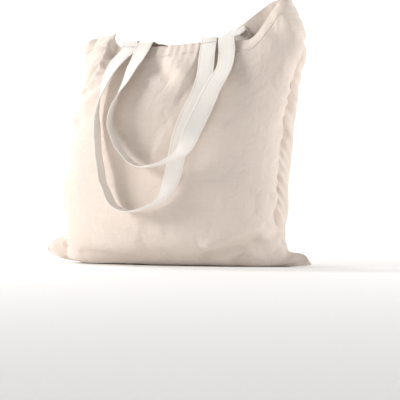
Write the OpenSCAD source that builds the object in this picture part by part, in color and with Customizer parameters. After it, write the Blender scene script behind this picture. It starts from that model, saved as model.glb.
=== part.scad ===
// Flat-sewn cotton tote bag, standing filled out, with both handles dropped over the front.
// +X is to the right of the front panel, the front faces -Y, and Z = 0 is the surface that it stands on.

/* [Bag] */
// Width of a panel laid flat, seam to seam
bag_w = 381; // [300:1:460]
// Height of a panel laid flat, bottom seam to mouth
bag_h = 381; // [300:1:460]
// Front-to-back size of the filled bag, as a share of its usual fullness
fullness = 1; // [0.8:0.05:1.25]
// Thickness of the panel cloth
cloth_t = 1.2; // [0.8:0.1:1.6]

/* [Hem and seams] */
// Height of the turned hem at the mouth
hem_h = 25; // [15:1:35]
// Thickness of the turned-in hem layers
hem_t = 1.2; // [0.6:0.1:2]
// Width of the overlocked seam allowance inside
allowance_w = 10; // [6:1:14]
// Thickness of the seam allowance
allowance_t = 1.2; // [0.6:0.1:2]

/* [Handles] */
// Width of a handle strap
strap_w = 22; // [18:1:26]
// Thickness of a handle strap
strap_t = 1.5; // [1:0.1:2]
// Length of each handle end sewn inside the hem
tab_h = 21; // [12:1:24]

/* [Stitching] */
// Diameter of the sewing thread
thread_d = 0.6; // [0.4:0.1:0.8]
// Distance of the stitching from a strap's edges
stitch_inset = 2.5; // [2:0.5:4]
// Number of stitches along each hem
hem_stitches = 56; // [20:1:80]
// Number of stitches along each edge of a handle
strap_stitches = 44; // [20:1:60]

/* [Hidden] */

FRONT = -1;
BACK = 1;
LEFT = 0;
RIGHT = 1;
canvas = [0.95, 0.92, 0.88];
thread_tone = [0.90, 0.86, 0.80];
round_thread = 16;                 // facets round a thread
round_fold = 48;                   // and round a full turn of a folded strap
across = 26;                       // cloth facets from side seam to side seam
upward = 30;                       // cloth facets from bottom seam to mouth
play = 0.4;                        // gap between pieces that move apart
lie = 0.25;                        // gap between layers of cloth that lie together
tab_lie = 0.3;                     // gap between the hem and the straps' ends, which lie flatter
usual_size = 381;                  // panel width and height that the shape below is drawn at
usual_strap = 22;                  // strap width that the handle routes are drawn at
kx = bag_w / usual_size;
kz = bag_h / usual_size;
seam_gap = cloth_t + allowance_t / 2 + lie;

// The cloth at nine equal steps from the bottom seam to the mouth: heights of its middle and of
// both side seams, the seams' places, how deep each panel bulges, and how far each panel's
// bulge swings out past the seam at either end.
middle_z = [0, 0, 28, 74, 120, 165, 208, 248, 284];
left_z = [18, 38, 80, 122, 165, 203, 236, 270, 302];
right_z = [3, 16, 55, 103, 151, 198, 244, 291, 338];
left_x = [-190, -158, -150, -149, -143, -130, -108, -90, -82];
left_y = [0, 0, 0, 0, -2, -15, -32, -33, -10];
right_x = [190, 168, 140, 141, 146, 152, 164, 176, 160];
front_depth = [0, 42, 70, 71, 68, 64, 56, 44, 28];
back_depth = [0, 48, 66, 68, 68, 66, 60, 50, 36];
front_swing = [[-60, -60], [-10, -10], [18, 14], [22, 14], [20, 12], [10, 10], [0, 10], [-20, 20],
    [-10, 30]];
back_swing = [[-60, -60], [-10, -10], [14, 50], [16, 60], [20, 60], [50, 56], [120, 50], [170, 30],
    [205, 10]];
back_lobe = [1, 1, 1, 1, 1, 0.9, 0.6, 0.5, 0.5];
bulge_share = 0.75;                // share of its handle length that a cubic curve bulges by
lean = 0.3;                        // how much of the left seam's lean its side of the panels shares
low_rise = 5;                      // how sharply the cloth climbs to a corner: low on the bag,
front_rise = [8, 7];               // and higher up, at the left and the right seam
back_rise = [0.6, 1.7];
front_peak = [0.67, 0.84];         // where across the mouth it climbs to the right corner
back_peak = [0.6, 0.86];
lobe_drop = 3;                     // how much more the back's left part rounds down at the mouth
near = 0.01;                       // step over which a slope is taken
closing = 0.03;                    // share of the height over which the bottom seam closes

// Handle routes: each point is a place and the turn of the strap, 0 with its right-hand leg flat
// against the cloth, 90 edge-on and 180 with its left-hand leg flat.
front_fold_r = [64, -31, 286.5];
front_fold_l = [-50, -26, 286.5];
fold_r = 3;
front_route = [
    [64, -34, 286, 0], [66, -44.6, 268, 0], [69, -57.5, 243, 3], [64, -65, 215, 8], [52, -69, 190, 12],
    [43, -72.5, 165, 18], [37, -75, 135, 28], [32, -80, 108, 50], [18, -84, 84, 80],
    [-4, -85, 73, 90], [-26, -85, 70, 90], [-46, -84, 77, 90], [-59, -81, 98, 90],
    [-68, -78, 126, 92], [-73, -76, 156, 95], [-75, -74.5, 184, 100], [-73, -72, 210, 115],
    [-68, -63.5, 236, 140], [-60, -47.5, 262, 165], [-51, -34.5, 278, 178], [-50, -29, 286, 180]];
back_fold_y = 16.5;
back_fold_z = [300, 283];
fold_tail = 6;                     // how far the folded strap runs down inside the hem
back_ends_x = [82, -27];
lip_y = -32;
lip_z = 288;
back_route = [
    [88, -34.5, 286, 0], [93, -44.5, 268, 0], [93, -58, 245, 0], [84, -69.5, 222, 4],
    [74, -72.5, 200, 12], [63, -78, 175, 30], [54, -84.5, 152, 52], [42, -92, 138, 80],
    [22, -94.5, 129, 90], [-2, -87, 125, 90], [-20, -84.5, 130, 90], [-36, -82.5, 146, 92],
    [-50, -80, 168, 95], [-54, -78, 190, 100], [-47, -75, 213, 115], [-37.5, -65, 238, 140],
    [-30, -48.5, 264, 165], [-28, -37, 279, 178], [-27, -32.5, 286, 180]];
front_ends_t = [0.527, 0.2];       // where the handle ends lie across the front panel
back_ends_t = [0.718, 0.515];      // and across the back panel
rings_per_step = 5;

// Smooth curve through a list of numbers or points
function pick(list, k) = list[min(max(k, 0), len(list) - 1)];
function blend(a, b, c, d, f) =
    b + 0.5 * f * ((c - a) + f * ((2 * a - 5 * b + 4 * c - d) + f * (3 * (b - c) + d - a)));
function along(list, x) =
    let(k = min(floor(x), len(list) - 2))
    blend(pick(list, k - 1), pick(list, k), pick(list, k + 1), pick(list, k + 2), x - k);
function unit(v) = v / max(norm(v), 0.000001);

// A point of the filled bag's outside: t runs from the left seam to the right, v from the bottom
// seam to the mouth.
function ease(from, to, x) =
    let(f = min(max((x - from) / (to - from), 0), 1))
    f * f * (3 - 2 * f);
function mix(a, b, f) = a + (b - a) * f;
function end_lift(side, t, v) =
    let(high = ease(0.3, 0.7, v),
        top = ease(0.55, 1, v),
        rise = side == FRONT ? front_rise : back_rise,
        peak = side == FRONT ? front_peak : back_peak,
        drop = side == BACK ? lobe_drop * top : 0,
        left = pow(max(0, 1 - 2 * t), mix(low_rise, rise[0], high) + drop),
        right = pow(max(0, 2 * t - 1), mix(low_rise, rise[1], high)))
    [left, mix(right, ease(peak[0], peak[1], t), top)];
function seam_part(side, t, v) = seam_gap * max(min(1, v / closing), pow(abs(2 * t - 1), 6));
function skin(side, t, v) =
    let(x = v * (len(middle_z) - 1),
        swing = along(side == FRONT ? front_swing : back_swing, x),
        depth = side * along(side == FRONT ? front_depth : back_depth, x) / bulge_share,
        lobe = side == FRONT ? 1 : along(back_lobe, x),
        xl = along(left_x, x),
        yl = along(left_y, x),
        xr = along(right_x, x),
        w = [pow(1 - t, 3), 3 * t * pow(1 - t, 2), 3 * t * t * (1 - t), pow(t, 3)],
        lift = end_lift(side, t, v),
        z = along(middle_z, x))
    [kx * (w[0] * xl + w[1] * (xl - swing[0]) + w[2] * (xr + swing[1]) + w[3] * xr),
     fullness * (w[0] * yl + w[1] * (depth * lobe + lean * yl) + w[2] * depth)
        + side * seam_part(side, t, v),
     kz * max(0, z + (along(left_z, x) - z) * lift[0] + (along(right_z, x) - z) * lift[1])];
function outward(side, t, v) =
    let(a = min(max(t, 4 * near), 1 - 4 * near),
        b = min(max(v, 3 * near), 1 - 2 * near),
        u = skin(side, a + near, b) - skin(side, a - near, b),
        w = skin(side, a, b + near) - skin(side, a, b - near))
    -side * unit(cross(u, w));
function under(side, t, v, depth) = skin(side, t, v) - depth * outward(side, t, v);

// A layer of cloth that lies from one depth to another under the outside
module layer(side, ts, vs, from_depth, to_depth) {
    m = len(ts);
    n = len(vs);
    points = [for (d = [from_depth, to_depth]) for (v = vs) for (t = ts) under(side, t, v, d)];
    function p(i, j, k) = k * m * n + j * m + i;
    outer = [for (j = [0:n - 2])
        for (i = [0:m - 2])
            each [[p(i, j, 0), p(i + 1, j + 1, 0), p(i + 1, j, 0)],
                [p(i, j, 0), p(i, j + 1, 0), p(i + 1, j + 1, 0)]]];
    inner = [for (f = outer) [f[0] + m * n, f[2] + m * n, f[1] + m * n]];
    rim = concat([for (i = [0:m - 2]) [i, 0]], [for (j = [0:n - 2]) [m - 1, j]],
        [for (i = [m - 1:-1:1]) [i, n - 1]], [for (j = [n - 1:-1:1]) [0, j]]);
    edge = [for (k = [0:len(rim) - 1])
        let(a = rim[k], b = rim[(k + 1) % len(rim)])
        each [[p(a[0], a[1], 0), p(b[0], b[1], 0), p(b[0], b[1], 1)],
            [p(a[0], a[1], 0), p(b[0], b[1], 1), p(a[0], a[1], 1)]]];
    faces = concat(outer, inner, edge);
    polyhedron(points, side == FRONT ? faces : turned(faces));
}

// A flat strap swept along points of a route, and the point at an offset from its middle
function place(p) =
    [kx * p[0], fullness * p[1] - (strap_w - usual_strap) / 2 * sin(p[3]), kz * p[2], p[3]];
function route_at(route, x) = place(along(route, x));
function aim(route, x) =
    let(a = route_at(route, max(x - 5 * near, 0)),
        b = route_at(route, min(x + 5 * near, len(route) - 1)))
    unit([b[0] - a[0], b[1] - a[1], b[2] - a[2]]);
function width_way(route, x) =
    let(turn = route_at(route, x)[3], t = aim(route, x), w = [-cos(turn), -sin(turn), 0])
    unit(w - (w * t) * t);
function strap_point(route, x, sideways, off) =
    let(p = route_at(route, x), w = width_way(route, x), n = cross(aim(route, x), w))
    [p[0], p[1], p[2]] + sideways * w + off * n;
module strap(route, from_x, to_x) {
    count = ceil((to_x - from_x) * rings_per_step);
    xs = [for (k = [0:count]) from_x + (to_x - from_x) * k / count];
    corners = [[-1, -1], [1, -1], [1, 1], [-1, 1]];
    points = [for (x = xs) for (c = corners)
        strap_point(route, x, c[0] * strap_w / 2, c[1] * strap_t / 2)];
    walls = [for (k = [0:count - 1])
        for (c = [0:3])
            let(a = 4 * k + c, b = 4 * k + (c + 1) % 4)
            each [[a, b + 4, b], [a, a + 4, b + 4]]];
    last = 4 * count;
    polyhedron(points, concat([[0, 1, 2], [0, 2, 3]], walls,
        [[last, last + 2, last + 1], [last, last + 3, last + 2]]));
}

// A stitch: a short round length of thread from one point to another
module stitch(a, b) {
    d = b - a;
    translate(a)
        rotate([0, acos(d[2] / norm(d)), atan2(d[1], d[0])])
            cylinder(d = thread_d, h = norm(d), $fn = round_thread);
}

function steps(from, to, n) = [for (k = [0:n]) from + (to - from) * k / n];
hem_v = 1 - hem_h / bag_h;
hem_rows = [for (v = steps(0, 1, upward)) if (v > hem_v + 0.005) v];
under_hem = cloth_t + lie + hem_t + tab_lie;
tab_v = 1 - tab_h / bag_h;
tab_top = 1 - near / 2;            // the straps' ends lie flat up to just under the mouth
filled_share = 0.86;               // width of the filled bag's mouth as a share of the flat width
tab_half = strap_w / 2 / (bag_w * filled_share);

module panel(side) {
    color(canvas) layer(side, steps(0, 1, across), steps(0, 1, upward), 0, cloth_t);
}
module front_panel() { panel(FRONT); }
module back_panel() { panel(BACK); }

module top_hem(side) {
    color(canvas)
        layer(side, steps(1 / across, 1 - 1 / across, across - 2), concat([hem_v], hem_rows),
            cloth_t + lie, cloth_t + lie + hem_t);
}
module front_top_hem() { top_hem(FRONT); }
module back_top_hem() { top_hem(BACK); }

// The side seams' allowances are pressed towards the back panel, and stop under the hem.
function swing_reach(end, v) =
    let(x = v * (len(middle_z) - 1),
        reach = norm([along(back_swing, x)[end], along(back_depth, x) / bulge_share]))
    3 * max(reach, least_reach);
least_reach = 60;
seam_clear = 2;                    // distance of the allowance from the panels' shared edge
allowance_from = 0.06;             // share of the height at which the allowance starts
function turned(faces) = [for (f = faces) [f[0], f[2], f[1]]];
module allowance(end) {
    rows = steps(allowance_from, hem_v - near, upward);
    n = 2 * len(rows);
    points = [for (d = [cloth_t + lie, cloth_t + lie + allowance_t])
        for (v = rows)
            for (from_edge = [seam_clear, seam_clear + allowance_w])
                let(t = from_edge / (kx * swing_reach(end, v)))
                under(BACK, end == LEFT ? t : 1 - t, v, d)];
    walls = [for (k = [0:2:n - 4]) each [
        [k, k + 1, k + 3], [k, k + 3, k + 2],
        [n + k, n + k + 3, n + k + 1], [n + k, n + k + 2, n + k + 3],
        [k, k + 2, n + k + 2], [k, n + k + 2, n + k],
        [k + 1, n + k + 3, k + 3], [k + 1, n + k + 1, n + k + 3]]];
    ends = [[0, n, n + 1], [0, n + 1, 1],
        [n - 2, n - 1, 2 * n - 1], [n - 2, 2 * n - 1, 2 * n - 2]];
    faces = concat(walls, ends);
    polyhedron(points, end == LEFT ? turned(faces) : faces);
}
// The ridge where the two panels meet, between their outer faces
function seam_line(end, v) =
    let(x = v * (len(middle_z) - 1))
    [kx * along(end == LEFT ? left_x : right_x, x),
        fullness * (end == LEFT ? along(left_y, x) : 0),
        kz * along(end == LEFT ? left_z : right_z, x)];
module seam_ridge(end) {
    half = allowance_t / 2;
    points = [for (v = steps(2 * closing, hem_v - near, upward))
        let(s = seam_line(end, v),
            w = unit(seam_line(end, min(v + near, 1)) - seam_line(end, v - near)),
            inward = end == LEFT ? [w[2], 0, -w[0]] : [-w[2], 0, w[0]])
        for (c = [[-half, -half], [-half, half], [half, half], [half, -half]])
            s + c[0] * inward + [0, c[1], 0]];
    last = len(points) - 4;
    walls = [for (k = [0:4:last - 4])
        for (c = [0:3])
            let(a = k + c, b = k + (c + 1) % 4)
            each [[a, b, b + 4], [a, b + 4, a + 4]]];
    faces = concat([[0, 2, 1], [0, 3, 2]], walls,
        [[last, last + 1, last + 2], [last, last + 2, last + 3]]);
    polyhedron(points, end == RIGHT ? faces : turned(faces));
}
module side_seam(end) {
    color(canvas) {
        allowance(end);
        seam_ridge(end);
    }
}
module left_side_seam() { side_seam(LEFT); }
module right_side_seam() { side_seam(RIGHT); }

// The bottom allowance is pressed towards the front panel.
bottom_ends = [0.08, 0.92];        // where it starts and stops, as shares of the width
module bottom_seam() {
    color(canvas)
        layer(FRONT, steps(bottom_ends[0], bottom_ends[1], across),
            steps(seam_clear / bag_h, (seam_clear + allowance_w) / bag_h, 2),
            cloth_t + lie, cloth_t + lie + allowance_t);
}

module handle_ends(side, places) {
    color(canvas)
        for (t = places)
            layer(side, steps(t - tab_half, t + tab_half, 4), steps(tab_v, tab_top, 3),
                under_hem, under_hem + strap_t);
}
module front_handle_ends() { handle_ends(FRONT, front_ends_t); }
module back_handle_ends() { handle_ends(BACK, back_ends_t); }

// The front handle's straps roll over the edge of the mouth, round the line that they swing on.
module front_handle_folds() {
    run = front_fold_r - front_fold_l;
    rise = kz * (front_fold_r[2] - middle_z[len(middle_z) - 1]) - play;
    color(canvas)
        for (c = [front_fold_l, front_fold_r])
            translate([kx * c[0], fullness * c[1], kz * c[2]])
                rotate([0, 0, atan2(run[1] * fullness, run[0] * kx)])
                    rotate([0, 90, 0])
                        rotate([0, 0, 90])
                            translate([0, 0, -strap_w / 2]) {
                                rotate_extrude(angle = 180, $fn = round_fold)
                                    translate([fold_r - strap_t / 2, 0])
                                        square([strap_t, strap_w]);
                                translate([fold_r - strap_t / 2, -rise, 0])
                                    cube([strap_t, rise, strap_w]);
                            }
}
loop_ends = 0.12;                  // how far the loop stops short of its folds, in route steps
module front_handle() {
    color(canvas) strap(front_route, loop_ends, len(front_route) - 1 - loop_ends);
}

// The back handle leaves the back hem, crosses the mouth as two bridges and drops over the front.
module back_handle_folds() {
    color(canvas)
        for (k = [0, 1]) {
            z = kz * back_fold_z[k];
            translate([kx * back_ends_x[k] - strap_w / 2, fullness * back_fold_y, z])
                rotate([90, 0, 90]) {
                    rotate_extrude(angle = 90, $fn = round_fold)
                        translate([fold_r - strap_t / 2, 0])
                            square([strap_t, strap_w]);
                    translate([fold_r - strap_t / 2, -fold_tail, 0])
                        cube([strap_t, fold_tail, strap_w]);
                }
        }
}
bridge_to_x = [88, -27];
short = 1;                         // how far the bridges stop short of the lip
module back_handle_bridges() {
    color(canvas)
        for (k = [0, 1]) {
            slant = abs(bridge_to_x[k] - back_ends_x[k]) / (back_fold_y - lip_y) * strap_w / 2;
            a = [back_ends_x[k], back_fold_y - play - slant, back_fold_z[k] + fold_r, 0];
            b = [bridge_to_x[k], lip_y + short, lip_z + short, 0];
            strap([a, (2 * a + b) / 3, (a + 2 * b) / 3, b], 0, 3);
        }
}
module back_handle() {
    color(canvas) strap(back_route, 0, len(back_route) - 1);
}

// Rows of stitches: along each hem, round each handle end, and along both edges of the handles
drawn = 0.7;                       // share of a stitch's pitch that shows as thread
hem_row = 2.5;                     // distance of the stitching from the hem's lower edge
row_ends = 0.02;                   // share of the width left free at either end of the row
module cloth_stitch(side, p, q) {
    stitch(under(side, p[0], p[1], -thread_d / 2), under(side, q[0], q[1], -thread_d / 2));
}
module hem_thread(side) {
    pitch = (1 - 2 * row_ends) / hem_stitches;
    v = hem_v + hem_row / bag_h;
    color(thread_tone)
        for (k = [0:hem_stitches - 1]) {
            t = row_ends + k * pitch;
            cloth_stitch(side, [t, v], [t + pitch * drawn, v]);
        }
}
module front_hem_thread() { hem_thread(FRONT); }
module back_hem_thread() { hem_thread(BACK); }

tack_side = 5;                     // stitches along each side of the square round a handle end
tack_cross = 7;                    // and along the line across it
module tack_line(side, a, b, n) {
    for (k = [0:n - 1])
        cloth_stitch(side, a + (b - a) * k / n, a + (b - a) * (k + drawn) / n);
}
module handle_tacks(side, places) {
    inset_t = tab_half - stitch_inset / bag_w;
    low = tab_v + (stitch_inset + hem_row) / bag_h;
    high = 1 - 2 * stitch_inset / bag_h;
    color(thread_tone)
        for (t = places) {
            c = [[t - inset_t, low], [t + inset_t, low], [t + inset_t, high], [t - inset_t, high]];
            for (k = [0:3])
                tack_line(side, c[k], c[(k + 1) % 4], tack_side);
            tack_line(side, c[0], c[2], tack_cross);
        }
}
module front_handle_tacks() { handle_tacks(FRONT, front_ends_t); }
module back_handle_tacks() { handle_tacks(BACK, back_ends_t); }

first_stitch = 0.2;                // where the first stitch starts, in steps of the route
last_stitch = 1.4;                 // and how far short of its end the last one stops
module strap_thread(route) {
    pitch = (len(route) - last_stitch) / strap_stitches;
    off = -strap_t / 2 - thread_d / 2 - play;
    color(thread_tone)
        for (edge = [-1, 1])
            for (k = [0:strap_stitches - 1]) {
                x = first_stitch + k * pitch;
                w = edge * (strap_w / 2 - stitch_inset);
                stitch(strap_point(route, x, w, off), strap_point(route, x + pitch * drawn, w, off));
            }
}
module front_handle_thread() { strap_thread(front_route); }
module back_handle_thread() { strap_thread(back_route); }

front_panel();
back_panel();
front_top_hem();
back_top_hem();
left_side_seam();
right_side_seam();
bottom_seam();
front_handle_ends();
front_handle_folds();
front_handle();
back_handle_ends();
back_handle_folds();
back_handle_bridges();
back_handle();
front_hem_thread();
back_hem_thread();
front_handle_tacks();
back_handle_tacks();
front_handle_thread();
back_handle_thread();
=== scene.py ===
import math

import bpy
import numpy as np
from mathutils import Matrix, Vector, noise
from mathutils.bvhtree import BVHTree


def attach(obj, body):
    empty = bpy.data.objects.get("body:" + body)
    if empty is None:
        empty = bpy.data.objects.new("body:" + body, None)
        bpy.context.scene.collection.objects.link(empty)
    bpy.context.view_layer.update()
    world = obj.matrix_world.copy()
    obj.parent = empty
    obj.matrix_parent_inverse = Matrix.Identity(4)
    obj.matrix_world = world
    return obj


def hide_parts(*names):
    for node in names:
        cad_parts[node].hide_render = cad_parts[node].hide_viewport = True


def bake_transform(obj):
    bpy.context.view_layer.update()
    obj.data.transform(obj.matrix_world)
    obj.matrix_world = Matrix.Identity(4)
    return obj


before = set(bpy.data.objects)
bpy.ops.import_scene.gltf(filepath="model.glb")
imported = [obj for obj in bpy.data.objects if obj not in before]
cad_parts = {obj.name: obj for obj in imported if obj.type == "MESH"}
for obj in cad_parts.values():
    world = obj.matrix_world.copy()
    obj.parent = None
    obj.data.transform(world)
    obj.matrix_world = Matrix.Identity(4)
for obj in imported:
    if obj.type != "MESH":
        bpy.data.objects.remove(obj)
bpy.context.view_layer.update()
bpy.ops.object.select_all(action="DESELECT")

# ---------------------------------------------------------------------------------------------
# Studio. A pale plain floor that curves up into a pale wall behind the bag, a soft key light
# from the left, a weaker soft one from the right, a third that lights only the wall, and a
# level camera.
MM = 0.001


def join_mesh(name, points, faces):
    mesh = bpy.data.meshes.new(name)
    mesh.from_pydata([tuple(p) for p in points], [], [tuple(f) for f in faces])
    mesh.update()
    thing = bpy.data.objects.new(name, mesh)
    bpy.context.collection.objects.link(thing)
    return thing


def plain_material(name, colour, roughness):
    made = bpy.data.materials.new(name)
    made.use_nodes = True
    surface = made.node_tree.nodes["Principled BSDF"]
    surface.inputs["Base Color"].default_value = (*colour, 1)
    surface.inputs["Roughness"].default_value = roughness
    return made


sweep = [(y, 0.0) for y in (-6.0, -2.0, 2.0)]
sweep += [
    (2.0 + 1.5 * math.sin(a), 1.5 * (1 - math.cos(a)))
    for a in (math.radians(9 * k) for k in range(1, 11))
]
sweep.append((3.5, 6.0))
turn = math.radians(25)
floor_points = [
    (x * math.cos(turn) - y * math.sin(turn), x * math.sin(turn) + y * math.cos(turn), z)
    for (y, z) in sweep
    for x in (-6.0, 6.0)
]
floor = join_mesh(
    "floor", floor_points, [(2 * k, 2 * k + 1, 2 * k + 3, 2 * k + 2) for k in range(len(sweep) - 1)]
)
for face in floor.data.polygons:
    face.use_smooth = True
floor.data.materials.append(plain_material("pale_floor", (0.93, 0.925, 0.92), 0.8))

world = bpy.data.worlds.new("studio")
world.use_nodes = True
world.node_tree.nodes["Background"].inputs["Color"].default_value = (1.0, 0.99, 0.98, 1)
world.node_tree.nodes["Background"].inputs["Strength"].default_value = 0.46
bpy.context.scene.world = world
bpy.context.scene.view_settings.view_transform = "Standard"


def soft_light(name, place, aim, size, watts, colour):
    bpy.ops.object.light_add(type="AREA", location=place)
    light = bpy.context.object
    light.name = name
    light.data.size = size
    light.data.energy = watts
    light.data.color = colour
    way = Vector(aim) - Vector(place)
    light.rotation_euler = way.to_track_quat("-Z", "Y").to_euler()


soft_light("key_light", (-1.9, -1.15, 1.0), (0, 0, 0.16), 0.8, 37, (1.0, 0.985, 0.965))
soft_light("side_light", (2.0, 0.45, 0.7), (0.1, 0, 0.16), 0.8, 20, (1.0, 0.99, 0.98))
soft_light("wall_light", (-1.6, 0.6, 2.6), (-1.2, 3.2, 0.5), 1.5, 70, (1.0, 0.99, 0.98))

VIEW_TURN = math.radians(25)
VIEW_AWAY = 2.08
bpy.ops.object.camera_add(
    location=(VIEW_AWAY * math.sin(VIEW_TURN), -VIEW_AWAY * math.cos(VIEW_TURN), 0.084),
    rotation=(math.radians(90), 0, VIEW_TURN),
)
camera = bpy.context.object
camera.data.lens = 144
camera.data.sensor_width = 36
camera.data.shift_x = 0.06375
bpy.context.scene.camera = camera

# ---------------------------------------------------------------------------------------------
# Body cloth. Two square panels of light unbleached plain-weave cotton, cut alike and sewn to each
# other along both sides and the bottom, then filled so that they bulge. The panels are made as
# one tube, wrinkled by a cloth simulation that keeps the seams shorter than the cloth between
# them, and then parted again at the seams.
BAG_W = 381 * MM
BAG_H = 381 * MM
CLOTH_T = 0.9 * MM
HEM_H = 25 * MM
COLS = 96
ROWS = 100

middle_z = np.array([0, 0, 28, 74, 120, 165, 208, 248, 284], float)
left_z = np.array([18, 38, 80, 122, 165, 203, 236, 270, 302], float)
right_z = np.array([3, 18, 55, 103, 151, 198, 244, 291, 338], float)
left_x = np.array([-190, -158, -150, -149, -143, -130, -108, -90, -82], float)
left_y = np.array([0, 0, 0, 0, -2, -15, -32, -33, -10], float)
right_x = np.array([190, 160, 140, 141, 146, 152, 164, 176, 160], float)
bulge = {
    "front": np.array([0, 32, 71, 72, 68, 64, 56, 44, 28], float),
    "back": np.array([0, 48, 66, 68, 68, 66, 60, 50, 36], float),
}
swing = {
    "front": np.array(
        [[-60, -60], [-10, -10], [18, 14], [22, 14], [20, 12], [10, 10], [0, 10], [-20, 20], [-10, 30]],
        float,
    ),
    "back": np.array(
        [[-60, -60], [-10, -10], [14, 50], [16, 60], [20, 60], [50, 56], [120, 50], [170, 30], [205, 10]],
        float,
    ),
}
lobe = np.array([1, 1, 1, 1, 1, 0.9, 0.6, 0.5, 0.5])


def along(steps, x):
    """Smooth curve through equally spaced values, at x steps from the first."""
    k = int(min(math.floor(x), len(steps) - 2))
    a, b, c, d = (steps[min(max(k + n, 0), len(steps) - 1)] for n in (-1, 0, 1, 2))
    f = x - k
    return b + 0.5 * f * ((c - a) + f * ((2 * a - 5 * b + 4 * c - d) + f * (3 * (b - c) + d - a)))


def ease(a, b, x):
    f = np.clip((x - a) / (b - a), 0, 1)
    return f * f * (3 - 2 * f)


def cross_row(side, v, t):
    """The filled panel's row at height v, for t from the left seam to the right, in metres."""
    x = v * 8
    out = -1 if side == "front" else 1
    deep = out * along(bulge[side], x) / 0.75
    share = 1 if side == "front" else along(lobe, x)
    rise = (8, 7) if side == "front" else (0.6, 1.7)
    peak = (0.67, 0.84) if side == "front" else (0.6, 0.86)
    high, top = ease(0.3, 0.7, v), ease(0.55, 1, v)
    xl, yl, xr = along(left_x, x), along(left_y, x), along(right_x, x)
    sl, sr = along(swing[side], x)
    w = (1 - t) ** 3, 3 * t * (1 - t) ** 2, 3 * t * t * (1 - t), t**3
    z = along(middle_z, x)
    blunt = ease(0, 0.045, v) * (1 - ease(0.05, 0.16, v))
    zl, zr = along(left_z, x) + 8 * blunt, along(right_z, x) + 9 * blunt
    left = np.clip(1 - 2 * t, 0, 1) ** (5 + (rise[0] - 5) * high + (3 if side == "back" else 0) * top)
    right = np.clip(2 * t - 1, 0, 1) ** (5 + (rise[1] - 5) * high)
    right += (ease(*peak, t) - right) * top
    if side == "front":
        dip = 1.5 * top * (ease(0.27, 0.34, t) - ease(0.42, 0.52, t))
    else:
        dip = 12 * top * (ease(0.12, 0.2, t) - ease(0.4, 0.48, t))
        dip = dip - 6 * top * np.exp(-(((t - 0.07) / 0.04) ** 2))
    row = np.stack(
        [
            w[0] * xl + w[1] * (xl - sl) + w[2] * (xr + sr) + w[3] * xr,
            w[0] * yl + w[1] * (deep * share + 0.3 * yl) + w[2] * deep,
            np.maximum(0, z - dip + (zl - z) * left + (zr - z) * right),
        ],
        1,
    )
    return row * MM


def even(points, count):
    """The same line with points at equal distances along it."""
    far = np.concatenate([[0], np.cumsum(np.linalg.norm(np.diff(points, axis=0), axis=1))])
    at = np.linspace(0, far[-1], count)
    return np.stack([np.interp(at, far, points[:, k]) for k in range(3)], 1)


fine = np.linspace(0, 1, 400)
cloth = {
    side: np.array([even(cross_row(side, j / ROWS, fine), COLS + 1) for j in range(ROWS + 1)])
    for side in ("front", "back")
}


def grid_normals(grid, out):
    """Outward unit normals of a grid of points, rows upward and columns to the right."""
    du, dv = np.gradient(grid, axis=1), np.gradient(grid, axis=0)
    n = np.cross(du, dv) * out
    return n / np.maximum(np.linalg.norm(n, axis=2, keepdims=True), 1e-12)


# Folds that the cloth is laid in before it is simulated: each runs from one place to another on
# the front, as x and z, and stands out (or in, if it is negative) by so much over so much width.
front_folds = [
    ((-6, 256), (24, 238), 13, -9.0),
    ((16, 256), (52, 232), 14, 6.0),
    ((-14, 232), (38, 214), 9, -2.5),
    ((-96, 262), (-64, 296), 5, 2.2),
    ((-88, 246), (-50, 284), 5, -2.6),
    ((-74, 238), (-40, 280), 5, 2.2),
    ((-60, 262), (-46, 286), 3.5, -3.0),
    ((-52, 262), (-36, 286), 3.5, 2.6),
    ((-44, 262), (-30, 286), 3.5, -2.2),
    ((-10, 262), (-8, 286), 3, 1.5),
    ((0, 262), (2, 286), 3, -1.6),
    ((10, 262), (11, 286), 3, 1.4),
    ((116, 300), (150, 330), 8, -3.0),
    ((100, 262), (150, 292), 12, 3.0),
    ((96, 240), (160, 262), 10, -2.0),
    ((60, 8), (132, 36), 8, -9.0),
    ((72, 26), (134, 52), 10, 5.0),
    ((98, 4), (116, 14), 6, -7.0),
    ((-156, 6), (-150, 64), 5, -6.0),
    ((-120, 14), (-30, 8), 8, -4.0),
    ((-20, 16), (50, 10), 9, -3.5),
    ((-110, 150), (-60, 92), 16, -1.8),
    ((60, 150), (120, 70), 18, 1.6),
]
hem_j = int(round((1 - HEM_H / BAG_H) * ROWS))
out_of = {"front": 1.0, "back": -1.0}
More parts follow.
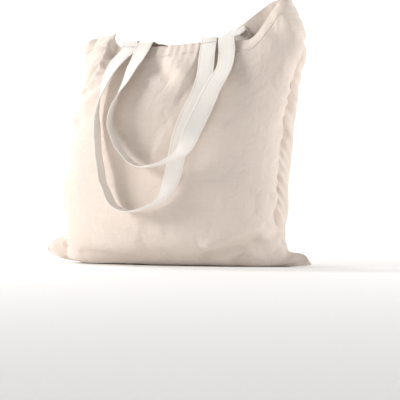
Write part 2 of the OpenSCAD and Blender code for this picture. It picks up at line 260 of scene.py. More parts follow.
for side in ("front", "back"):
    grid = cloth[side]
    normal = grid_normals(grid, out_of[side])
    high = np.linspace(0, 1, ROWS + 1)[:, None]
    s_across = np.linspace(0, 1, COLS + 1)
    from_seam = np.minimum(np.arange(COLS + 1), COLS - np.arange(COLS + 1))[None, :] / COLS
    push = np.zeros((ROWS + 1, COLS + 1))
    if side == "front":
        x, z = grid[..., 0] / MM, grid[..., 2] / MM
        for (ax, az), (bx, bz), wide, deep in front_folds:
            run = math.hypot(bx - ax, bz - az)
            f = ((x - ax) * (bx - ax) + (z - az) * (bz - az)) / run
            off = ((x - ax) * (az - bz) + (z - az) * (bx - ax)) / run
            ends = ease(-wide, wide * 0.5, f) * ease(-wide, wide * 0.5, run - f)
            push += deep * MM * ends * np.exp(-1.6 * np.abs(off / wide) ** 1.5)
    # Puckers at each side seam, a raised edge beside it, folds that fan out, and broad swells
    for i in range(COLS + 1):
        for j in range(ROWS + 1):
            d = from_seam[0, i]
            which = 0.0 if i < COLS / 2 else 7.0
            tilt = 0.55 if side == "front" else -0.4
            v = j / ROWS
            pucker = noise.noise(Vector((d * 4, (v - tilt * d) * 26, which + out_of[side])))
            uneven = 0.35 + 1.5 * abs(noise.noise(Vector((5.5, v * 8, which + out_of[side]))))
            fan = noise.noise(Vector((d * 7, (v - 2.2 * tilt * d) * 13, 5 + which * out_of[side])))
            beside = math.exp(-(((d - 0.03) / 0.035) ** 2))
            push[j, i] += 6.5 * MM * (0.3 * uneven - 1.5 * abs(pucker)) * beside
            ridge = 4.5 * MM * (1 - math.exp(-((d / 0.018) ** 2)))
            push[j, i] += ridge * math.exp(-((d / 0.09) ** 2)) * (v < 0.93)
            push[j, i] += 8.0 * MM * uneven * fan * math.exp(-(((d - 0.07) / 0.07) ** 2))
            broad = noise.noise(Vector((i / COLS * 3.2 + which, v * 3.4, 3 * out_of[side])))
            push[j, i] += 5.5 * MM * broad * min(1, d * 6) * min(1, v * 6)
    # Gathers along the mouth, mostly at the left
    reach, pitch, sway = (3.4, 17, 5) if side == "front" else (2.0, 30, 9)
    fade = 1 - 0.62 * ease(0.2, 0.3, s_across) - 0.38 * ease(0.5, 0.7, s_across)
    ends = ease(0.03, 0.08, s_across) * fade
    for i in range(COLS + 1):
        for j in range(int(ROWS * 0.74), ROWS + 1):
            v = j / ROWS
            lean = noise.noise(Vector((i / COLS * 5, v * 3, sway)))
            wave = math.sin(2 * math.pi * (i / COLS * 381 / pitch + 0.55 * lean * 2 + (v - 1) * 1.2))
            size = 0.55 + 0.9 * noise.noise(Vector((i / COLS * 7, 4.4, sway)))
            push[j, i] += reach * MM * size * wave * ends[i] * float(ease(0.84, 0.97, v))
    push *= np.minimum(1, high / 0.03)
    cloth[side] = grid + normal * push[..., None]
    for j in range(ROWS + 1):
        for i in range(COLS + 1):
            which = 0.0 if i < COLS / 2 else 7.0
            stray = 4.0 * noise.noise(Vector((which, j / ROWS * 19, 2.5)))
            cloth[side][j, i, 0] += stray * MM * math.exp(-from_seam[0, i] / 0.025) * min(1, j / 8)
    cloth[side][..., 2] = np.maximum(cloth[side][..., 2], 0.0)
# One line for each seam, shared by both panels
for i in (0, COLS):
    both = (cloth["front"][:, i] + cloth["back"][:, i]) / 2
    cloth["front"][:, i] = cloth["back"][:, i] = both
both = (cloth["front"][0] + cloth["back"][0]) / 2
cloth["front"][0] = cloth["back"][0] = both

SIM_STEPS = 20
FARTHEST_MOVE = 9 * MM
# The tube: front columns from left to right, then back columns from right to left
around = 2 * COLS
points = [p for row in range(ROWS + 1) for p in cloth["front"][row]]
index = {("front", j, i): j * (COLS + 1) + i for j in range(ROWS + 1) for i in range(COLS + 1)}
for j in range(ROWS + 1):
    for i in range(COLS + 1):
        if j == 0 or i in (0, COLS):
            index["back", j, i] = index["front", j, i]
        else:
            index["back", j, i] = len(points)
            points.append(cloth["back"][j, i])
faces = []
for side in ("front", "back"):
    for j in range(ROWS):
        for i in range(COLS):
            loop = [(j, i), (j, i + 1), (j + 1, i + 1), (j + 1, i)]
            ring = [index[side, *c] for c in loop]
            faces.append(ring if side == "front" else ring[::-1])
tube = join_mesh("cloth_tube", points, faces)
hold = tube.vertex_groups.new(name="hold")
draw = tube.vertex_groups.new(name="draw")
for side in ("front", "back"):
    for j in range(ROWS + 1):
        for i in range(COLS + 1):
            seam = min(i, COLS - i)
            grip = 0.27
            if seam == 0:
                grip = 0.72
            if j > hem_j:
                grip = 0.6
            if j >= ROWS - 1:
                grip = 0.8
            if j < 2:
                grip = 1.0
            hold.add([index[side, j, i]], grip, "REPLACE")
            slack = 1.0 if j <= hem_j else 0.45
            draw.add([index[side, j, i]], 0.0 if seam == 0 else slack, "REPLACE")
sim = tube.modifiers.new("cloth", "CLOTH")
sim.settings.quality = 5
sim.settings.mass = 0.05
sim.settings.tension_stiffness = 12
sim.settings.compression_stiffness = 12
sim.settings.shear_stiffness = 3
sim.settings.bending_model = "ANGULAR"
sim.settings.bending_stiffness = 0.02
sim.settings.vertex_group_mass = "hold"
sim.settings.pin_stiffness = 1.0
sim.settings.vertex_group_shrink = "draw"
sim.settings.shrink_min = 0.01
sim.settings.shrink_max = -0.06
sim.settings.effector_weights.gravity = 0.25
sim.collision_settings.use_collision = False
sim.point_cache.frame_start = 1
sim.point_cache.frame_end = SIM_STEPS
for step in range(1, SIM_STEPS + 1):
    bpy.context.scene.frame_set(step)
shaped = tube.evaluated_get(bpy.context.evaluated_depsgraph_get())
after = np.array([v.co[:] for v in shaped.data.vertices])
bpy.context.scene.frame_set(1)
for side in ("front", "back"):
    for j in range(ROWS + 1):
        for i in range(COLS + 1):
            was = cloth[side][j, i]
            move = after[index[side, j, i]] - was
            far = np.linalg.norm(move)
            if far > FARTHEST_MOVE:
                move *= FARTHEST_MOVE / far
            cloth[side][j, i] = was + move
    cloth[side][..., 2] = np.maximum(cloth[side][..., 2], 0.0)
bpy.data.objects.remove(tube, do_unlink=True)

lie = {side: grid_normals(cloth[side], out_of[side]) for side in ("front", "back")}


def on_cloth(side, t, v, under=0.0):
    """The point of a panel at t across and v up, and so far under its outer face."""
    a, b = t * COLS, v * ROWS
    i, j = int(min(a, COLS - 1)), int(min(b, ROWS - 1))
    f, g = a - i, b - j
    spots = []
    for table in (cloth[side], lie[side]):
        low = table[j, i] * (1 - f) + table[j, i + 1] * f
        top = table[j + 1, i] * (1 - f) + table[j + 1, i + 1] * f
        spots.append(low * (1 - g) + top * g)
    normal = spots[1] / np.linalg.norm(spots[1])
    return spots[0] - normal * under


def sheet_object(name, rows, across_m, up_m, flip):
    """A grid of points as a mesh, with a UV map that says where each point is in the flat cut."""
    rows = np.asarray(rows)
    n, m = rows.shape[:2]
    faces = []
    for j in range(n - 1):
        for i in range(m - 1):
            ring = [j * m + i, j * m + i + 1, (j + 1) * m + i + 1, (j + 1) * m + i]
            faces.append(ring[::-1] if flip else ring)
    thing = join_mesh(name, rows.reshape(-1, 3), faces)
    flat = thing.data.uv_layers.new(name="flat")
    for face in thing.data.polygons:
        for corner in face.loop_indices:
            k = thing.data.loops[corner].vertex_index
            flat.data[corner].uv = (
                across_m[0] + (across_m[1] - across_m[0]) * (k % m) / (m - 1),
                up_m[0] + (up_m[1] - up_m[0]) * (k // m) / (n - 1),
            )
    return thing


def apply_modifier(thing, kind, **settings):
    made = thing.modifiers.new(kind.lower(), kind)
    for name, value in settings.items():
        setattr(made, name, value)
    bpy.context.view_layer.objects.active = thing
    bpy.ops.object.modifier_apply(modifier=made.name)


def smooth(thing):
    thing.data.shade_smooth()


# Plain-woven cotton: a warp and a weft that go over and under each other, threads of uneven
# thickness that show as faint streaks both ways, soft creases, and a slightly darker tone in
# uneven patches. It reads the flat cut's own UV map, in metres.
def woven(name, pale, dark, pitch, weave_depth, crease_depth, sewn_rows):
    made = bpy.data.materials.new(name)
    made.use_nodes = True
    tree = made.node_tree
    surface = tree.nodes["Principled BSDF"]

    def node(kind, **settings):
        one = tree.nodes.new(kind)
        for key, value in settings.items():
            setattr(one, key, value)
        return one

    def link(a, b):
        tree.links.new(a, b)

    def math_node(kind, a, b=None):
        one = node("ShaderNodeMath", operation=kind)
        for slot, value in enumerate((a, b)):
            if value is None:
                continue
            if isinstance(value, (int, float)):
                one.inputs[slot].default_value = value
            else:
                link(value, one.inputs[slot])
        return one.outputs[0]

    flat = node("ShaderNodeUVMap", uv_map="flat").outputs[0]

    def stretched(x, y, seed):
        place = node("ShaderNodeMapping")
        place.inputs["Scale"].default_value = (x, y, 1)
        place.inputs["Location"].default_value = (seed, seed * 1.7, 0)
        link(flat, place.inputs["Vector"])
        grain = node("ShaderNodeTexNoise")
        grain.inputs["Scale"].default_value = 1
        grain.inputs["Detail"].default_value = 3
        link(place.outputs[0], grain.inputs["Vector"])
        return grain.outputs["Fac"]

    def bands(direction):
        one = node("ShaderNodeTexWave", wave_type="BANDS", bands_direction=direction)
        one.inputs["Scale"].default_value = math.pi / 10 / pitch
        link(flat, one.inputs["Vector"])
        return one.outputs["Fac"]

    over = node("ShaderNodeTexChecker")
    over.inputs["Scale"].default_value = 1 / pitch
    link(flat, over.inputs["Vector"])
    warp, weft = bands("X"), bands("Y")
    mask = over.outputs["Fac"]
    weave = math_node(
        "ADD", math_node("MULTIPLY", warp, mask), math_node("MULTIPLY", weft, math_node("SUBTRACT", 1, mask))
    )
    slub_up, slub_across = stretched(900, 22, 3.1), stretched(22, 900, 8.7)
    slub = math_node("MULTIPLY", math_node("ADD", slub_up, slub_across), 0.5)
    cloudy = stretched(9, 9, 5.3)

    tone = node("ShaderNodeMix", data_type="RGBA")
    tone.inputs["A"].default_value = (*dark, 1)
    tone.inputs["B"].default_value = (*pale, 1)
    mixed = math_node(
        "ADD",
        math_node("MULTIPLY", slub, 0.9),
        math_node("ADD", math_node("MULTIPLY", cloudy, 0.35), math_node("MULTIPLY", weave, 0.18)),
    )
    spread = node("ShaderNodeMapRange")
    spread.inputs["From Min"].default_value = 0.45
    spread.inputs["From Max"].default_value = 0.95
    link(mixed, spread.inputs["Value"])
    link(spread.outputs[0], tone.inputs["Factor"])
    link(tone.outputs["Result"], surface.inputs["Base Color"])

    rough = node("ShaderNodeMapRange")
    rough.inputs["To Min"].default_value = 0.82
    rough.inputs["To Max"].default_value = 0.96
    link(slub, rough.inputs["Value"])
    link(rough.outputs[0], surface.inputs["Roughness"])
    surface.inputs["Specular IOR Level"].default_value = 0.25
    surface.inputs["Sheen Weight"].default_value = 0.18
    surface.inputs["Sheen Roughness"].default_value = 0.6

    fibre = node("ShaderNodeBump")
    fibre.inputs["Strength"].default_value = 0.6
    fibre.inputs["Distance"].default_value = weave_depth
    link(math_node("ADD", weave, slub), fibre.inputs["Height"])
    crease = node("ShaderNodeBump")
    crease.inputs["Strength"].default_value = 0.7
    crease.inputs["Distance"].default_value = crease_depth
    small = node("ShaderNodeTexNoise")
    small.inputs["Scale"].default_value = 55
    small.inputs["Detail"].default_value = 3
    small.inputs["Distortion"].default_value = 0.8
    link(flat, small.inputs["Vector"])
    link(small.outputs["Fac"], crease.inputs["Height"])
    split = node("ShaderNodeSeparateXYZ")
    link(flat, split.inputs[0])
    across, row_at = sewn_rows
    off_row = math_node("ABSOLUTE", math_node("SUBTRACT", split.outputs[across], row_at))
    pull = node("ShaderNodeMapRange", interpolation_type="SMOOTHSTEP")
    pull.inputs["From Min"].default_value = 0.0
    pull.inputs["From Max"].default_value = 2.5 * MM
    link(off_row, pull.inputs["Value"])
    groove = node("ShaderNodeBump")
    groove.inputs["Strength"].default_value = 1.0
    groove.inputs["Distance"].default_value = 0.8 * MM
    link(pull.outputs[0], groove.inputs["Height"])
    link(crease.outputs[0], groove.inputs["Normal"])
    link(groove.outputs[0], fibre.inputs["Normal"])
    link(fibre.outputs[0], surface.inputs["Normal"])
    return made


# Sewn rows are given as which way they are measured, 0 across or 1 up, and how far
canvas = woven(
    "unbleached_canvas",
    pale=(0.83, 0.735, 0.66),
    dark=(0.76, 0.655, 0.58),
    pitch=0.8 * MM,
    weave_depth=0.10 * MM,
    crease_depth=3.0 * MM,
    sewn_rows=(1, BAG_H - HEM_H + 2 * MM),
)

for side in ("front", "back"):
    panel = sheet_object(f"{side}_body_cloth", cloth[side], (0, BAG_W), (0, BAG_H), side == "back")
    smooth(panel)
    apply_modifier(panel, "SUBSURF", levels=1, render_levels=1)
    apply_modifier(panel, "SOLIDIFY", thickness=CLOTH_T, offset=-1)
    panel.data.materials.append(canvas)
    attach(panel, "bag")
    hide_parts(f"{side}_panel")

# ---------------------------------------------------------------------------------------------
# Hems. At the mouth each panel is turned in by 25 mm over itself: a rolled edge at the top and a
# second layer down the inside, which the row of stitching holds.
HEM_GAP = 0.15 * MM
for side in ("front", "back"):
    ts = np.linspace(0, 1, COLS + 1)
    deep = 2 * CLOTH_T + HEM_GAP
    rows = [[on_cloth(side, t, 1 - 1.6 * MM / BAG_H, -0.06 * MM) for t in ts]]
    top = np.array([on_cloth(side, t, 1.0, deep / 2) for t in ts])
    edge = np.array([on_cloth(side, t, 1.0, 0) for t in ts])
    up = np.array([cloth[side][ROWS, i] - cloth[side][ROWS - 2, i] for i in range(COLS + 1)])
    up /= np.linalg.norm(up, axis=1)[:, None]
    out = edge - top
    out /= np.linalg.norm(out, axis=1)[:, None]
    for k in range(9):
        a = math.pi * k / 8
        reach = deep / 2 + 0.06 * MM
        rows.append(top + out * reach * math.cos(a) + up * reach * math.sin(a))
    for k in range(1, 13):
        rows.append([on_cloth(side, t, 1 - HEM_H / BAG_H * k / 12, deep) for t in ts])
    hem = sheet_object(f"{side}_mouth_hem", rows, (0, BAG_W), (BAG_H, BAG_H + HEM_H), side == "back")
    smooth(hem)
    apply_modifier(hem, "SUBSURF", levels=1, render_levels=1)
    apply_modifier(hem, "SOLIDIFY", thickness=CLOTH_T * 0.9, offset=-1)
    hem.data.materials.append(canvas)
    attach(hem, "bag")
    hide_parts(f"{side}_top_hem")

# ---------------------------------------------------------------------------------------------
# Seam allowances. The panels' raw edges lie inside the bag as a doubled strip 10 mm wide, pressed
# to the back at the sides and to the front along the bottom. A real bag's are overlocked, and
# that thread isn't made. The side strips cover about 347 mm of the panel's height, and their flat
# length of 310 mm was chosen for the area rule, not measured.
ALLOWANCE = 10 * MM
for side, first, last in (("left", 0.0, ALLOWANCE / BAG_W), ("right", 1 - ALLOWANCE / BAG_W, 1.0)):
    ts = np.linspace(first, last, 5)
    vs = np.linspace(0.02, 1 - HEM_H / BAG_H - 0.004, 80)
    rows = [[on_cloth("back", min(max(t, 0.004), 0.996), v, CLOTH_T + 0.2 * MM) for t in ts] for v in vs]
    allowance = sheet_object(f"{side}_seam_allowance", rows, (0, ALLOWANCE), (0, BAG_H), True)
    smooth(allowance)
    apply_modifier(allowance, "SOLIDIFY", thickness=2 * CLOTH_T, offset=-1)
    allowance.data.materials.append(canvas)
    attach(allowance, "bag")
    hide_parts(f"{side}_side_seam")

# The bottom strip takes more of the panel's height than its own width, because the cloth bunches
# there: at its own width it measured less than the area rule allows
BUNCHED = 1.45
ts = np.linspace(0.06, 0.94, 80)
vs = np.linspace(0.002, BUNCHED * ALLOWANCE / BAG_H, 5)
rows = [[on_cloth("front", t, v, CLOTH_T + 0.2 * MM) for t in ts] for v in vs]
allowance = sheet_object("bottom_seam_allowance", rows, (0, BAG_W), (0, ALLOWANCE), False)
smooth(allowance)
apply_modifier(allowance, "SOLIDIFY", thickness=2 * CLOTH_T, offset=-1)
allowance.data.materials.append(canvas)
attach(allowance, "bag")
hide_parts("bottom_seam")

# ---------------------------------------------------------------------------------------------
# Front handle. A strip of the same cloth folded to 22 mm, its edges turned in and topstitched.
# Both ends are sewn inside the front hem, and the loop drops over the front in a deep U. It is
# in five pieces that meet: two sewn ends that stay with the bag, two folds over the mouth, and
# the loop, which swings whole.
STRAP_W = 22 * MM
# half thickness at places across the strap: rolled edges, a groove at each row of stitching
strap_section = [
    (-11, 0.3), (-10.7, 0.62), (-9.8, 0.82), (-9.0, 0.66), (-8.5, 0.5), (-8.0, 0.66), (-6.5, 0.8),
    (-3, 0.84), (0, 0.82), (3, 0.84), (6.5, 0.8), (8.0, 0.66), (8.5, 0.5), (9.0, 0.66), (9.8, 0.82),
    (10.7, 0.62), (11, 0.3),
]
front_route = [
    (64, -34, 286, 0), (66, -44.6, 268, 0), (69, -57.5, 243, 3), (64, -65, 215, 8), (52, -69, 190, 12),
    (43, -72.5, 165, 18), (37, -75, 135, 28), (32, -80, 108, 50), (18, -84, 84, 80),
    (-4, -85, 73, 90), (-26, -85, 70, 90), (-46, -84, 77, 90), (-59, -81, 98, 90),
    (-68, -78, 126, 92), (-73, -76, 156, 95), (-75, -74.5, 184, 100), (-73, -72, 210, 115),
    (-68, -63.5, 236, 140), (-60, -47.5, 262, 165), (-51, -34.5, 278, 178), (-50, -29, 286, 180),
]


def t_at(side, x, v):
    """How far across a panel its row v has this x, away from the seams."""
    xs = np.array([on_cloth(side, t, v)[0] for t in np.linspace(0.15, 0.9, 300)])
    return float(np.linspace(0.15, 0.9, 300)[np.argmin(abs(xs - x))])


def end_controls(side, x, turned):
    """The sewn end of a handle, from its lower edge up to the mouth, as places and width ways."""
    under = 2 * CLOTH_T + 0.3 * MM + 0.9 * MM
    t = t_at(side, x, 0.99)
    way = np.array([1.0 if turned else -1.0, 0, 0])
    return [(on_cloth(side, t, 1 - d * MM / BAG_H, under), way) for d in (21, 14, 7, 1)]


def route_controls(route):
    made = []
    for x, y, z, turned in route:
        a = math.radians(turned)
        made.append((np.array([x, y, z]) * MM, np.array([-math.cos(a), -math.sin(a), 0.0])))
    return made


def strap_path(controls, step):
    """Places and width ways at equal steps along a smooth line through the controls."""
    table = np.array([np.concatenate([p, w]) for p, w in controls])
    fine = np.array([along(table, x) for x in np.linspace(0, len(table) - 1, 1500)])
    far = np.concatenate([[0], np.cumsum(np.linalg.norm(np.diff(fine[:, :3], axis=0), axis=1))])
    at = np.linspace(0, far[-1], int(far[-1] / step) + 1)
    even_table = np.stack([np.interp(at, far, fine[:, k]) for k in range(6)], 1)
    return even_table[:, :3], even_table[:, 3:]


def relax(values, times):
    for _ in range(times):
        values = np.concatenate(
            [values[:1], (values[:-2] + 2 * values[1:-1] + values[2:]) / 4, values[-1:]]
        )
    return values


def strap_frames(places, ways):
    run = np.gradient(places, axis=0)
    run /= np.linalg.norm(run, axis=1)[:, None]
    ways = ways - run * np.sum(ways * run, axis=1)[:, None]
    ways /= np.linalg.norm(ways, axis=1)[:, None]
    return ways, np.cross(run, ways)


# Only what hangs in front of the hem is moved, and not the part inside it
CLEAR_FROM_Y = -33 * MM


def keep_clear(places, ways, trees, gap):
    """Moves a strap forward wherever it would lie in the cloth or straps behind it."""
    shift = np.zeros(len(places))
    quarter = len(places) // 4
    first = int(np.argmax(places[:quarter, 2]))
    last = len(places) - 1 - int(np.argmax(places[::-1][:quarter, 2]))
    for k in range(first, last):
        p, w = places[k], ways[k]
        if p[1] > CLEAR_FROM_Y:
            continue
        for across in (-1, -0.5, 0, 0.5, 1):
            spot = p + w * across * STRAP_W / 2
            for tree in trees:
                hit = tree.ray_cast(Vector((spot[0], -0.4, spot[2])), Vector((0, 1, 0)))[0]
                if hit is not None and hit.y < 0.02:
                    shift[k] = min(shift[k], hit.y - gap - spot[1])
    widest = np.array([shift[max(0, k - 2) : k + 3].min() for k in range(len(shift))])
    places = places.copy()
    places[:, 1] += relax(widest, 6)
    return places


def strap_rings(places, ways):
    ways, out = strap_frames(places, ways)
    rings = []
    for k, (p, w, n) in enumerate(zip(places, ways, out)):
        s = k / len(places)
        ring = []
        wave = 1.2 * MM * noise.noise(Vector((s * 30, p[0] * 20, 2.5)))
        for across, half in strap_section:
            curl = 1.5 * MM * (across / 11) ** 2 * noise.noise(Vector((s * 26, across * 0.06, 9.1)))
            ring.append(p + w * across * MM + n * (half * MM + wave + curl))
        for across, half in strap_section[::-1]:
            curl = 1.5 * MM * (across / 11) ** 2 * noise.noise(Vector((s * 26, across * 0.06, 9.1)))
            ring.append(p + w * across * MM + n * (-half * MM + wave + curl))
        rings.append(ring)
    return np.array(rings)


def strap_object(name, rings, start_m):
    """A closed strap from its rings, with flat caps, and a UV map along and across it."""
    n, m = rings.shape[:2]
    faces = []
    for j in range(n - 1):
        for i in range(m):
            k = (i + 1) % m
            faces.append((j * m + i, j * m + k, (j + 1) * m + k, (j + 1) * m + i))
    half = m // 2
    for i in range(half - 1):
        faces.append((i + 1, i, m - 1 - i, m - 2 - i))
        last = (n - 1) * m
        faces.append((last + i, last + i + 1, last + m - 2 - i, last + m - 1 - i))
    thing = join_mesh(name, rings.reshape(-1, 3), faces)
    flat = thing.data.uv_layers.new(name="flat")
    for face in thing.data.polygons:
        for corner in face.loop_indices:
            k = thing.data.loops[corner].vertex_index
            i, j = k % m, k // m
            across = strap_section[i if i < half else m - 1 - i][0] * MM
            flat.data[corner].uv = (across + (0.1 if i < half else 0.2), start_m + j * STEP)
    bpy.context.view_layer.objects.active = thing
    thing.select_set(True)
    bpy.ops.object.mode_set(mode="EDIT")
    bpy.ops.mesh.select_all(action="SELECT")
    bpy.ops.mesh.normals_make_consistent(inside=False)
    bpy.ops.object.mode_set(mode="OBJECT")
    thing.select_set(False)
    smooth(thing)
    apply_modifier(thing, "SUBSURF", levels=1, render_levels=1)
    return thing


# The straps are the same cloth as the body, but their tone below is painted paler and whiter than the
# body's: painted light, for the light they catch where they face the key light
# The straps' own rows are grooves in their section, so this row is put where no strap reaches
painted_light_strap_cloth = woven(
    "strap_canvas_painted_light",
    pale=(0.96, 0.925, 0.885),
    dark=(0.90, 0.855, 0.805),
    pitch=0.7 * MM,
    weave_depth=0.10 * MM,
    crease_depth=0.8 * MM,
    sewn_rows=(0, 1),
)
STEP = 2.2 * MM


def cloth_tree():
    grid = cloth["front"]
    wide = COLS + 1
    faces = [
        (j * wide + i, j * wide + i + 1, (j + 1) * wide + i + 1, (j + 1) * wide + i)
        for j in range(ROWS)
        for i in range(COLS)
    ]
    return BVHTree.FromPolygons([tuple(p) for p in grid.reshape(-1, 3)], faces)


behind = [cloth_tree()]


def fold_over(x, y, z, way):
    """The rolled part of a handle over the mouth, from the inside to the outside."""
    return [
        (np.array([x, y + 3.2 * math.cos(a), z + 3.2 * math.sin(a)]) * MM, way)
        for a in (math.radians(d) for d in (20, 55, 90, 125, 160))
    ]


right_way, left_way = np.array([-1.0, 0, 0]), np.array([1.0, 0, 0])
controls = end_controls("front", 64 * MM, False)
controls += fold_over(64, -31, 286.5, right_way)
controls += route_controls(front_route)[1:-1]
controls += fold_over(-50, -26, 286.5, left_way)[::-1]
controls += end_controls("front", -50 * MM, True)[::-1]
places, ways = strap_path(controls, STEP)
places = keep_clear(places, ways, behind, 1.3 * MM)
front_rings = strap_rings(places, ways)
middle = front_rings.mean(axis=1)
quarter = len(middle) // 4
right_fold = int(np.argmax(middle[:quarter, 2]))
left_fold = len(middle) - 1 - int(np.argmax(middle[::-1][:quarter, 2]))
# The loop starts where the strap has come this far forward over the hem
RIGHT_LOOP_Y, LEFT_LOOP_Y = -35.5 * MM, -31.5 * MM
front_first = next(k for k in range(right_fold, len(middle)) if middle[k, 1] < RIGHT_LOOP_Y)
front_last = max(k for k in range(left_fold) if middle[k, 1] < LEFT_LOOP_Y)
# The fold pieces reach this many rings past the top of each fold, towards its sewn end
RINGS_IN = 3
right_in, left_in = right_fold - RINGS_IN, left_fold + RINGS_IN
for name, first, last in (
    ("front_strap_right_end", 0, right_in),
    ("front_strap_right_fold", right_in, front_first),
    ("front_strap_left_fold", front_last, left_in),
    ("front_strap_left_end", left_in, len(middle) - 1),
):
    strap = strap_object(name, front_rings[first : last + 1], first * STEP)
    strap.data.materials.append(painted_light_strap_cloth)
    if name.endswith("fold"):
        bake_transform(strap)
    else:
        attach(strap, "bag")
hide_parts("front_handle_ends")
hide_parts("front_handle_folds")
front_strap = strap_object("front_strap", front_rings[front_first : front_last + 1], front_first * STEP)
front_strap.data.materials.append(painted_light_strap_cloth)
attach(front_strap, "front_handle")
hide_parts("front_handle")
ring_size = front_rings.shape[1]
behind.append(
    BVHTree.FromPolygons(
        [tuple(p) for p in front_rings.reshape(-1, 3)],
        [
            (j * ring_size + i, j * ring_size + i + 1, (j + 1) * ring_size + i + 1, (j + 1) * ring_size + i)
            for j in range(len(front_rings) - 1)
            for i in range(ring_size - 1)
        ],
    )
)

# ---------------------------------------------------------------------------------------------
# Back handle. The same strip, sewn inside the back hem. It crosses the mouth and drops over the
# front too, in a shorter U that lies over the front handle on the right. It is in three pieces
# that meet over the mouth: two ends that bend at the back edge, and a loop that bends at the
# front edge.
back_route = [
    (88, -34.5, 286, 0), (93, -44.5, 268, 0), (93, -58, 245, 0), (84, -69.5, 222, 4),
    (74, -72.5, 200, 12), (63, -78, 175, 30), (54, -84.5, 152, 52), (42, -92, 138, 80),
    (22, -94.5, 129, 90), (-2, -87, 125, 90), (-20, -84.5, 130, 90), (-36, -82.5, 146, 92),
    (-50, -80, 168, 95), (-54, -78, 190, 100), (-47, -75, 213, 115), (-37.5, -65, 238, 140),
    (-30, -48.5, 264, 165), (-28, -37, 279, 178), (-27, -32.5, 286, 180),
]


def bridge_controls(end_x, end_z, lip_x, way):
    """From the sewn end over the back edge and across the mouth, where it sags a little."""
    made = [
        (np.array([end_x, 16.5 + 3 * math.cos(a), end_z + 3 * math.sin(a)]) * MM, way)
        for a in (math.radians(d) for d in (10, 50, 85))
    ]
    for f in (0.12, 0.3, 0.5, 0.7, 0.88):
        spot = [end_x + (lip_x - end_x) * f, 16.1 - 47.1 * f, end_z + 3 + (286 - end_z) * f]
        spot[2] -= 1.6 * math.sin(math.pi * f)
        made.append((np.array(spot) * MM, way))
    return made


right_bridge = bridge_controls(82, 300, 88, right_way)
left_bridge = bridge_controls(-27, 283, -27, left_way)
controls = end_controls("back", 82 * MM, False) + right_bridge
controls += route_controls(back_route)
controls += left_bridge[::-1] + end_controls("back", -27 * MM, True)[::-1]
places, ways = strap_path(controls, STEP)
places = keep_clear(places, ways, behind, 1.4 * MM)
back_rings = strap_rings(places, ways)
middle_y = back_rings[:, :, 1].mean(axis=1)
# The ends and the loop part in the middle of the mouth
crossing = -5 * MM
first_cut = next(k for k in range(len(middle_y)) if middle_y[k] < crossing)
last_cut = max(k for k in range(len(middle_y)) if middle_y[k] < crossing)
rear = [
    ("back_strap_right_end", back_rings[: first_cut + 1], 0),
    ("back_strap_left_end", back_rings[last_cut:], last_cut * STEP),
]
for name, rings, start_m in rear:
    strap = strap_object(name, rings, start_m)
    strap.data.materials.append(painted_light_strap_cloth)
    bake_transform(strap)
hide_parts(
    "back_handle_ends",
    "back_handle_folds",
    "back_handle_bridges",
)
back_strap = strap_object("back_strap", back_rings[first_cut : last_cut + 1], first_cut * STEP)
back_strap.data.materials.append(painted_light_strap_cloth)
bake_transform(back_strap)
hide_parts("back_handle")

# ---------------------------------------------------------------------------------------------
# Stitching. Cotton thread: a row round the mouth along the lower edge of each hem, a crossed
# square over each handle end, and a row along both edges of the handles.
thread = plain_material("cotton_thread", (0.83, 0.775, 0.70), 0.7)
twist_tree = thread.node_tree
twist = twist_tree.nodes.new("ShaderNodeTexWave")
twist.inputs["Scale"].default_value = 420
twist.inputs["Distortion"].default_value = 1.5
spot_node = twist_tree.nodes.new("ShaderNodeTexCoord")
twist_tree.links.new(spot_node.outputs["Object"], twist.inputs["Vector"])
twist_bump = twist_tree.nodes.new("ShaderNodeBump")
twist_bump.inputs["Distance"].default_value = 0.1 * MM
twist_tree.links.new(twist.outputs["Fac"], twist_bump.inputs["Height"])
twist_tree.links.new(
    twist_bump.outputs[0], twist_tree.nodes["Principled BSDF"].inputs["Normal"]
)
twist_tone = twist_tree.nodes.new("ShaderNodeMix")
twist_tone.data_type = "RGBA"
twist_tone.inputs["A"].default_value = (0.76, 0.70, 0.62, 1)
twist_tone.inputs["B"].default_value = (0.86, 0.81, 0.74, 1)
twist_tree.links.new(twist.outputs["Fac"], twist_tone.inputs["Factor"])
twist_tree.links.new(
    twist_tone.outputs["Result"], twist_tree.nodes["Principled BSDF"].inputs["Base Color"]
)

# One stitch, modelled once: a short rod that dips into the cloth at both ends
bpy.ops.mesh.primitive_cylinder_add(vertices=6, radius=0.26 * MM, depth=1.0, rotation=(0, math.pi / 2, 0))
bpy.ops.object.transform_apply(location=True, rotation=True, scale=True)
model = bpy.context.object
bpy.ops.object.mode_set(mode="EDIT")
bpy.ops.mesh.select_all(action="SELECT")
bpy.ops.mesh.bisect(plane_co=(-0.25, 0, 0), plane_no=(1, 0, 0))
bpy.ops.mesh.select_all(action="SELECT")
bpy.ops.mesh.bisect(plane_co=(0.25, 0, 0), plane_no=(1, 0, 0))
bpy.ops.object.mode_set(mode="OBJECT")
stitch_points = np.array([v.co[:] for v in model.data.vertices])
stitch_faces = [tuple(p.vertices) for p in model.data.polygons]
bpy.data.objects.remove(model, do_unlink=True)


def stitches(name, runs):
    """Copies the stitch once for each run: its two ends and the way out of the cloth."""
    points, faces = [], []
    for a, b, out in runs:
        run = b - a
        side_way = np.cross(out, run)
        side_way /= np.linalg.norm(side_way)
        up = np.cross(run, side_way)
        up /= np.linalg.norm(up)
        dip = np.where(abs(stitch_points[:, 0]) > 0.4, -0.34 * MM, 0.0)
        made = (a + b) / 2 + stitch_points[:, :1] * run
        made = made + stitch_points[:, 1:2] * side_way + (stitch_points[:, 2] + dip)[:, None] * up
        first = len(points)
        points.extend(made)
        faces.extend(tuple(first + k for k in f) for f in stitch_faces)
    thing = join_mesh(name, points, faces)
    smooth(thing)
    thing.data.materials.append(thread)
    return thing


PITCH = 2.8 * MM
SHOWN = 0.72


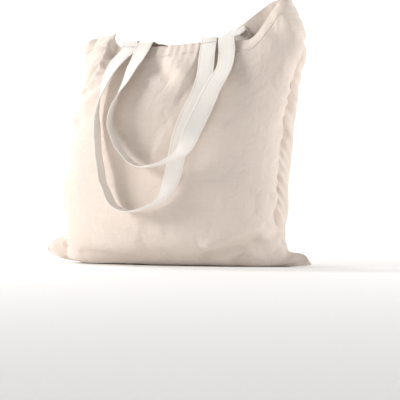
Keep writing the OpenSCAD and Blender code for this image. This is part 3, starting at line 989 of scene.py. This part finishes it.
def cloth_runs(side, a, b, size):
    """Stitches in a straight row on a panel, from one place to another as t and v."""
    a, b = np.array(a), np.array(b)
    count = max(1, round(size / PITCH))
    made = []
    for k in range(count):
        p, q = a + (b - a) * k / count, a + (b - a) * (k + SHOWN) / count
        start, stop = on_cloth(side, *p, -0.12 * MM), on_cloth(side, *q, -0.12 * MM)
        made.append((start, stop, start - on_cloth(side, *p, 1 * MM)))
    return made


hem_row = 1 - (HEM_H - 2.5 * MM) / BAG_H
for side in ("front", "back"):
    row = stitches(f"{side}_hem_stitching", cloth_runs(side, (0.006, hem_row), (0.994, hem_row), BAG_W))
    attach(row, "bag")
    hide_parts(f"{side}_hem_thread")

for side, middles in (("front", (64, -50)), ("back", (82, -27))):
    runs = []
    for x in middles:
        t = t_at(side, x * MM, 0.97)
        half = 8.5 * MM / BAG_W
        low, high = 1 - 19 * MM / BAG_H, 1 - 4 * MM / BAG_H
        c = [(t - half, low), (t + half, low), (t + half, high), (t - half, high)]
        for k in range(4):
            runs += cloth_runs(side, c[k], c[(k + 1) % 4], 16 * MM)
        runs += cloth_runs(side, c[0], c[2], 22 * MM) + cloth_runs(side, c[1], c[3], 22 * MM)
    box = stitches(f"{side}_tack_stitching", runs)
    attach(box, "bag")
    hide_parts(f"{side}_handle_tacks")


def strap_runs(rings, first, last):
    """Rows of stitches in the two grooves on both faces of a strap."""
    m = rings.shape[1]
    made = []
    for groove in (4, 12, m - 5, m - 13):
        line = rings[first : last + 1, groove]
        far = np.concatenate([[0], np.cumsum(np.linalg.norm(np.diff(line, axis=0), axis=1))])
        centre = rings[first : last + 1].mean(axis=1)
        across = rings[first : last + 1, 8] - rings[first : last + 1, m - 9]
        sign = 1 if groove < m // 2 else -1
        count = int(far[-1] / PITCH)
        for k in range(count):
            spots = []
            for f in (k, k + SHOWN):
                at = far[-1] * f / count
                spots.append(np.array([np.interp(at, far, line[:, c]) for c in range(3)]))
            near = min(int(np.searchsorted(far, far[-1] * k / count)), len(line) - 1)
            out = sign * across[near] / np.linalg.norm(across[near])
            made.append((spots[0] + out * 0.12 * MM, spots[1] + out * 0.12 * MM, out))
    return made


row = stitches("front_strap_stitching", strap_runs(front_rings, front_first, front_last))
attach(row, "front_handle")
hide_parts("front_handle_thread")
runs = strap_runs(front_rings, right_in, front_first) + strap_runs(front_rings, front_last, left_in)
row = stitches("front_strap_fold_stitching", runs)
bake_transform(row)
row = stitches("back_strap_stitching", strap_runs(back_rings, first_cut, last_cut))
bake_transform(row)
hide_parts("back_handle_thread")
# The first rings are inside the hem, so the thread starts above them
SEWN_RINGS = 10
runs = strap_runs(back_rings, SEWN_RINGS, first_cut)
runs += strap_runs(back_rings, last_cut, len(back_rings) - 1 - SEWN_RINGS)
row = stitches("back_strap_end_stitching", runs)
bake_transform(row)
